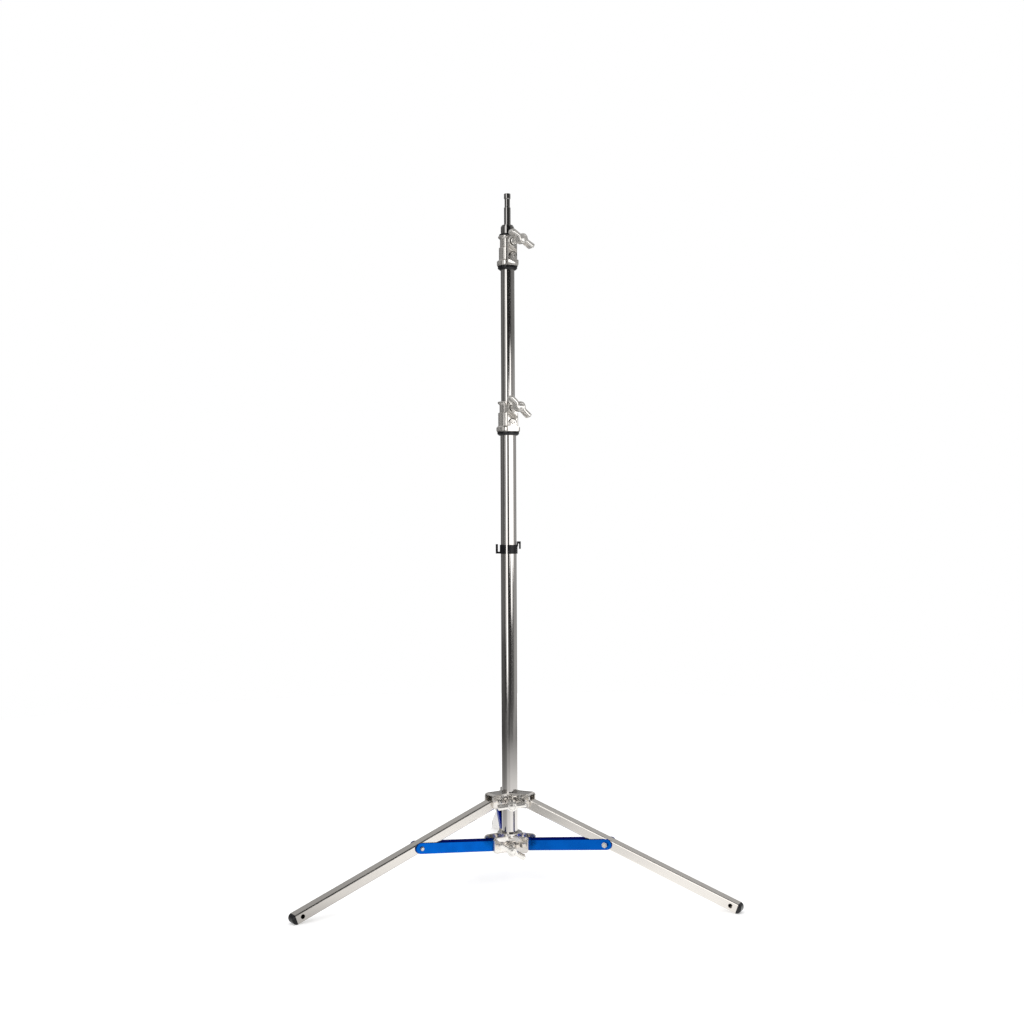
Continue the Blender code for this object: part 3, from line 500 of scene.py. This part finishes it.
LENGTHWISE = (1.0, 1.0, 0.02)
ALL_ROUND = (0.02, 0.02, 1.0)
TUMBLED = (0.5, 0.5, 0.5)
BRUSHED = (0.3, 0.3, 0.3)
MATERIALS = {
    "tube": chrome("tube_chrome", (0.775, 0.745, 0.715), dull=0.085, shine=0.045, streak=LENGTHWISE),
    "leg": chrome("leg_chrome", (0.835, 0.795, 0.745), dull=0.22, shine=0.12, streak=BRUSHED),
    "stud": chrome("stud_chrome", (0.50, 0.485, 0.47), dull=0.05, shine=0.02, streak=ALL_ROUND),
    "bolt": chrome("bolt_zinc", (0.70, 0.685, 0.66), dull=0.32, shine=0.18, streak=TUMBLED),
    "casting": casting("casting_zinc", (0.95, 0.91, 0.86), metallic=0.90, smoothest=0.07, roughest=0.15),
    "handle": casting("handle_zinc", (0.95, 0.92, 0.87), metallic=0.80, smoothest=0.07, roughest=0.14),
    "brace": enamel("brace_blue", (0.002, 0.128, 0.60), shade=(0.002, 0.108, 0.52),
                    edge_tint=(0.05, 0.13, 0.42)),
    "black": plastic("black_plastic", (0.006, 0.006, 0.007), smoothest=0.16, roughest=0.28),
}

# Nodes by material; every node that isn't named here is a fastener.
FINISH = {
    "tube": ("base_column", "riser_1_tube", "riser_2_tube"),
    "leg": ("left_leg_tube", "right_leg_tube", "rear_leg_tube"),
    "stud": ("stud", "stud_base"),
    "casting": ("middle_clamp_collar", "top_clamp_collar", "upper_leg_hub", "lower_brace_hub",
                "middle_clamp_pad", "top_clamp_pad", "upper_hub_pad", "lower_hub_pad"),
    "handle": ("middle_t_handle", "top_t_handle", "upper_hub_t_handle", "lower_hub_t_handle"),
    "brace": ("left_brace", "right_brace", "rear_brace"),
    "black": ("column_end_plug", "cable_clip", "middle_collar_ring", "top_collar_ring", "top_wiper_ring",
              "riser_1_bush", "riser_2_bush", "left_foot_cap", "right_foot_cap", "rear_foot_cap"),
}
EDGE_WIDTH = {"casting": 0.0009, "handle": 0.0011, "brace": 0.0006, "black": 0.0004, "bolt": 0.0004,
              "stud": 0.0003}
WELD_DISTANCE = 0.00001
FLAT_ANGLE = math.radians(1)
EDGE_ANGLE = math.radians(35)


def round_edges(node, width):
    weld = node.modifiers.new("weld", "WELD")
    weld.merge_threshold = WELD_DISTANCE
    flat = node.modifiers.new("flat", "DECIMATE")
    flat.decimate_type = "DISSOLVE"
    flat.angle_limit = FLAT_ANGLE
    edge = node.modifiers.new("edge", "BEVEL")
    edge.width = width
    edge.segments = 3
    edge.limit_method = "ANGLE"
    edge.angle_limit = EDGE_ANGLE
    edge.harden_normals = True
    edge.use_clamp_overlap = True


def dress():
    """Give every CAD node its material and rounded edges."""
    kind_of = {name: kind for kind, names in FINISH.items() for name in names}
    for name, node in nodes.items():
        kind = kind_of.get(name, "bolt")
        node.data.materials.clear()
        node.data.materials.append(MATERIALS[kind])
        if kind in EDGE_WIDTH:
            round_edges(node, EDGE_WIDTH[kind])


# ---------------------------------------------------------------- finer pieces
def on_column(azimuth, reach, height, roll=0.0):
    """Frame with X pointing away from the column at a heading, turned about X by roll."""
    return (Matrix.Translation((AXIS_X, AXIS_Y, height))
            @ Matrix.Rotation(math.radians(azimuth), 4, "Z")
            @ Matrix.Translation((reach, 0, 0))
            @ Matrix.Rotation(math.radians(roll), 4, "X"))


def row(bm, frame, points):
    """New vertices at points given in a frame."""
    return [bm.verts.new(frame @ Vector(point)) for point in points]


def bridge(bm, rows, closed=True):
    """Join each row of vertices to the next with four-sided faces."""
    for first, second in zip(rows, rows[1:]):
        count = len(first)
        for i in range(count if closed else count - 1):
            j = (i + 1) % count
            bm.faces.new((first[i], first[j], second[j], second[i]))


def lathe(bm, profile, frame, steps=40):
    """Add a turned surface; profile holds (radius, distance along X) points."""
    rings = []
    for radius, along in profile:
        angles = [2 * math.pi * i / steps for i in range(steps)] if radius else [0.0]
        rings.append(row(bm, frame, [(along, radius * math.cos(a), radius * math.sin(a)) for a in angles]))
    for first, second in zip(rings, rings[1:]):
        for i in range(steps):
            j = (i + 1) % steps
            corners = (first[i % len(first)], first[j % len(first)],
                       second[j % len(second)], second[i % len(second)])
            face = list(dict.fromkeys(corners))
            if len(face) > 2:
                bm.faces.new(face)


def piece(name, bm, material, body, stands_for=(), smooth_angle=32):
    """Turn a bmesh into a shaded piece that rides on a body."""
    bmesh.ops.remove_doubles(bm, verts=bm.verts, dist=1e-6)
    bmesh.ops.recalc_face_normals(bm, faces=bm.faces)
    mesh = bpy.data.meshes.new(name)
    bm.to_mesh(mesh)
    bm.free()
    mesh.materials.append(MATERIALS[material])
    mesh.shade_smooth()
    mesh.set_sharp_from_angle(angle=math.radians(smooth_angle))
    made = bpy.data.objects.new(name, mesh)
    bpy.context.scene.collection.objects.link(made)
    if stands_for:
        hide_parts(*stands_for)
    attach(made, body)


# The cast grip of a T handle: a round boss that runs out into two flat blades.
WING_HALF = 0.0342
WING_BOSS = 0.0118
WING_BLADE = 0.0045                     # half thickness of a blade beside the boss
WING_FLARE = 0.0011                     # and how much it gains at the tip
WING_TIP = 0.0030
WING_FILLET = 0.0016
WING_THINNEST = 0.0004
WING_STEPS = 44
WING_LAYERS = (                         # distance out along the handle's axis, inset of the outline
    (0.0268, 0.0022), (0.0273, 0.0008), (0.0286, 0.0), (0.0462, 0.0), (0.0475, 0.0008), (0.0480, 0.0022))
HANDLE_NECK = (
    (0, 0.0016), (0.0072, 0.0016), (0.0078, 0.0022), (0.0078, 0.0046), (0.0070, 0.0056), (0.0066, 0.0080),
    (0.0066, 0.0098), (0.0074, 0.0106), (0.0074, 0.0128), (0.0068, 0.0138), (0.0070, 0.0200),
    (0.0078, 0.0240), (0.0092, 0.0268), (0.0104, 0.0284), (0, 0.0300))
HANDLE_CAP = (
    (0.0098, 0.0470), (0.0098, 0.0482), (0.0092, 0.0485), (0.0074, 0.0485), (0.0068, 0.0480),
    (0.0066, 0.0474), (0.0048, 0.0474), (0.0046, 0.0480), (0.0038, 0.0482), (0, 0.0483))


def wing_half_height(across, inset):
    """Half height of the grip at a place along it."""
    half = WING_HALF - inset
    across = min(abs(across), half)
    boss = math.sqrt(max((WING_BOSS - inset) ** 2 - across ** 2, 0.0))
    blade = WING_BLADE - inset + WING_FLARE * (across / WING_HALF) ** 2
    height = WING_FILLET * math.log(math.exp(boss / WING_FILLET) + math.exp(blade / WING_FILLET))
    into_tip = across - (half - WING_TIP)
    if into_tip > 0:
        height -= WING_TIP - math.sqrt(max(WING_TIP ** 2 - into_tip ** 2, 0.0))
    return max(height, WING_THINNEST)


def cast_handle(prefix, body, azimuth, reach, height, roll):
    """T handle: stepped neck, winged grip with rounded edges and a ringed barrel end."""
    frame = on_column(azimuth, reach, height, roll)
    bm = bmesh.new()
    lathe(bm, HANDLE_NECK, frame)
    layers = []
    for along, inset in WING_LAYERS:
        half = WING_HALF - inset
        places = [half * math.sin(math.pi * (i / WING_STEPS - 0.5)) for i in range(WING_STEPS + 1)]
        upper = [(along, across, wing_half_height(across, inset)) for across in places]
        lower = [(along, across, -rise) for along, across, rise in reversed(upper)]
        layers.append(row(bm, frame, upper + lower))
    bridge(bm, layers)
    for layer in (layers[0], layers[-1]):
        bridge(bm, (layer[:WING_STEPS + 1], layer[:WING_STEPS:-1]), closed=False)
    lathe(bm, HANDLE_CAP, frame)
    piece(prefix + "_cast_handle", bm, "handle", body, (prefix + "_t_handle",), 28)


def boss_ring(prefix, body, azimuth, reach, height):
    """Machined rim round the hole that the clamp screw enters."""
    bm = bmesh.new()
    lathe(bm, ((0.0128, -0.0080), (0.0128, 0.0008), (0.0122, 0.0015), (0.0104, 0.0015), (0.0097, 0.0009),
               (0.0094, -0.0022)), on_column(azimuth, reach, height))
    piece(prefix + "_boss_ring", bm, "handle", body)


TONGUE_STEPS = 18
TONGUE_SIDE = 0.0012                    # how far its straight sides spread toward the foot
TONGUE_FOOT = 0.0090
TONGUE_LAYERS = (                       # distance out, radius of the arch
    (-0.0040, 0.0092), (0.0004, 0.0092), (0.0009, 0.0086), (0.0009, 0.0080), (0.0022, 0.0078),
    (0.0027, 0.0070))
TONGUE_SCREW = ((0.0046, 0.0024), (0.0046, 0.0052), (0.0040, 0.0058), (0.0024, 0.0058), (0.0022, 0.0038),
                (0, 0.0036))
# Painted shade: a thin black half-ring round the tongue stands for the dark gap of its seam.
SHADOW_GAP_STEPS = 24
SHADOW_GAP_LAYERS = ((-0.0010, 0.0093), (0.0006, 0.0093), (0.0006, 0.0103), (-0.0010, 0.0103))


def arch(along, radius, steps):
    """Half circle over the origin, from right to left."""
    angles = [math.pi * i / steps for i in range(steps + 1)]
    return [(along, radius * math.cos(a), radius * math.sin(a)) for a in angles]


def raised_tongue(prefix, body, azimuth, reach, height):
    """Arched pad that carries the retaining bolt, with a step, and round its edge a black strip that
    paints the shade in the seam's gap.
    """
    frame = on_column(azimuth, reach, height)
    bm = bmesh.new()
    rings = []
    for along, radius in TONGUE_LAYERS:
        corner = radius + TONGUE_SIDE
        feet = [(along, -corner, -TONGUE_FOOT), (along, corner, -TONGUE_FOOT)]
        rings.append(row(bm, frame, arch(along, radius, TONGUE_STEPS) + feet))
    bridge(bm, rings)
    bm.faces.new(rings[-1])
    lathe(bm, TONGUE_SCREW, frame, 24)
    piece(prefix + "_tongue", bm, "casting", body)
    # Painted shade: black strip round the tongue's edge in place of the shade in the seam's gap.
    bm = bmesh.new()
    rings = [row(bm, frame, arch(along, radius, SHADOW_GAP_STEPS)) for along, radius in SHADOW_GAP_LAYERS]
    bridge(bm, rings + rings[:1], closed=False)
    for end in (0, -1):
        bm.faces.new([ring[end] for ring in rings])
    piece(prefix + "_tongue_shadow_gap", bm, "black", body)


LEGS = {"left": 210, "right": 330, "rear": 90}      # heading of each leg
CHEEK_CORNER = 0.0075
CORNER_STEPS = 5
RIM_LAYERS = (                          # inset from the cheek's border, distance out of its face
    (0.0003, -0.0005), (0.0003, 0.0004), (0.0007, 0.0008), (0.0015, 0.0008), (0.0019, 0.0004),
    (0.0021, -0.0005))


def rounded_loop(low, high, radius):
    """Corner-rounded rectangle in two coordinates, always with the same number of points."""
    loop = []
    for x, y, start in ((high[0] - radius, low[1] + radius, -90), (high[0] - radius, high[1] - radius, 0),
                        (low[0] + radius, high[1] - radius, 90), (low[0] + radius, low[1] + radius, 180)):
        for i in range(CORNER_STEPS + 1):
            angle = math.radians(start + 90 * i / CORNER_STEPS)
            loop.append((x + radius * math.cos(angle), y + radius * math.sin(angle)))
    return loop


def cheek_rims(body, half_width, low, high):
    """Raised borders on the outer faces of a hub's cheeks, between two (reach, height) corners."""
    bm = bmesh.new()
    for azimuth in LEGS.values():
        frame = on_column(azimuth, 0, 0)
        for side in (-1, 1):
            rings = []
            for inset, out in RIM_LAYERS:
                loop = rounded_loop((low[0] + inset, low[1] + inset), (high[0] - inset, high[1] - inset),
                                    CHEEK_CORNER - inset)
                rings.append(row(bm, frame, [(x, side * (half_width + out), z) for x, z in loop]))
            bridge(bm, rings)
    piece(body + "_rims", bm, "casting", body)


SOCKET_RADIUS = 0.0019


def screw_boss(name, body, frame, radius):
    """Raised ring with a washer and a socket-head screw sunk in it."""
    bm = bmesh.new()
    lathe(bm, ((radius, -0.004), (radius, 0.0012), (radius - 0.0006, 0.0019), (radius - 0.0017, 0.0019),
               (radius - 0.0021, 0.0012), (radius - 0.0023, 0.0002), (0, 0.0002)), frame)
    piece(name + "_ring", bm, "casting", body)
    bm = bmesh.new()
    head = radius - 0.0033
    lathe(bm, ((head, 0.0), (head, 0.0018), (head - 0.0005, 0.0023), (SOCKET_RADIUS, 0.0024)), frame)
    lathe(bm, ((SOCKET_RADIUS, 0.0024), (0.0018, 0.0010), (0, 0.0009)), frame, 6)
    piece(name + "_screw", bm, "bolt", body)


PIVOT_REACH = 0.040
PIVOT_HEIGHT = middle_of("rear_leg_bolt").z
PIVOT_SEAT = 0.0193                     # from the leg's middle to the bolt's washer
PIVOT_END = -0.0271                     # far end of the shank
PIVOT_CHAMFER = 0.0004
SHANK_RADIUS = 0.0039


def pivot_bolt(side, azimuth):
    """Low domed bolt head on its washer, across the leg, with the shank behind it."""
    frame = on_column(azimuth, PIVOT_REACH, PIVOT_HEIGHT) @ Matrix.Rotation(QUARTER_TURN, 4, "Z")
    shank = ((0, PIVOT_END), (SHANK_RADIUS - PIVOT_CHAMFER, PIVOT_END),
             (SHANK_RADIUS, PIVOT_END + PIVOT_CHAMFER), (SHANK_RADIUS, PIVOT_SEAT))
    head = ((0.0064, 0), (0.0064, 0.0009), (0.0052, 0.0010), (0.0050, 0.0022), (0.0044, 0.0032),
            (0.0034, 0.0038), (0.0020, 0.0040))
    socket = ((0.0020, 0.0040), (0.0019, 0.0024), (0, 0.0023))
    bm = bmesh.new()
    lathe(bm, shank + tuple((radius, PIVOT_SEAT + out) for radius, out in head), frame, 24)
    lathe(bm, [(radius, PIVOT_SEAT + out) for radius, out in socket], frame, 6)
    piece(side + "_pivot_bolt", bm, "bolt", "upper_hub", (side + "_leg_bolt",))


HANDLES = (
    # name, body that it turns on, reach from the column axis, roll as it stands
    ("middle", "middle_handle", 0.0272, -42.5),
    ("top", "top_handle", 0.0248, -29.0),
    ("upper_hub", "upper_handle", 0.0370, 6.0),
    ("lower_hub", "lower_handle", 0.0370, -29.0))
COLLARS = (
    # name, body, reach of the ring round its clamp screw, reach of its tongue
    ("middle", "column", 0.0272, 0.0278),
    ("top", "riser_1", 0.0248, 0.0254))
# Hub cheeks: half width, near and far reach, and the margins under and over the rim.
UPPER_CHEEK = (0.0190, 0.0150, 0.0600, 0.0030, 0.0)
LOWER_CHEEK = (0.0226, 0.0120, 0.0590, 0.0030, 0.0050)
HUB_BOSS_REACH = 0.0352
HUB_BOSS_ABOVE_PIVOT = 0.0094
HUB_BOSS_SEAT = 0.0190
HUB_BOSS_RADIUS = 0.0078
HUB_BOSS_SIDES = {"left": 90, "right": -90}           # the two that face the front


def screw_axis(prefix):
    """Heading and height of a clamp screw."""
    middle = middle_of(prefix + "_clamp_screw")
    return math.degrees(math.atan2(middle.y - AXIS_Y, middle.x - AXIS_X)), middle.z


def make_fittings():
    for prefix, body, reach, roll in HANDLES:
        azimuth, height = screw_axis(prefix)
        cast_handle(prefix, body, azimuth, reach, height, roll)
    for prefix, body, reach, _ in COLLARS:
        azimuth, height = screw_axis(prefix)
        boss_ring(prefix, body, azimuth, reach, height)
    for prefix, body, _, reach in COLLARS:
        azimuth, _ = screw_axis(prefix)
        raised_tongue(prefix, body, azimuth, reach, middle_of(prefix + "_collar_bolt").z)
    for body, hub, cheek in (("upper_hub", "upper_leg_hub", UPPER_CHEEK),
                             ("lower_hub", "lower_brace_hub", LOWER_CHEEK)):
        half_width, near, far, under, over = cheek
        bottom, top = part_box(hub)
        cheek_rims(body, half_width, (near, bottom.z + under), (far, top.z - over))
    for side, azimuth in LEGS.items():
        pivot_bolt(side, azimuth)
    for side, turn in HUB_BOSS_SIDES.items():
        frame = (on_column(LEGS[side], HUB_BOSS_REACH, PIVOT_HEIGHT + HUB_BOSS_ABOVE_PIVOT)
                 @ Matrix.Rotation(math.radians(turn), 4, "Z") @ Matrix.Translation((HUB_BOSS_SEAT, 0, 0)))
        screw_boss(side + "_hub_boss", "upper_hub", frame, HUB_BOSS_RADIUS)


make_camera()
make_world()
make_floor()
make_lights()
dress()
make_fittings()

bpy.context.scene.view_settings.view_transform = "Standard"
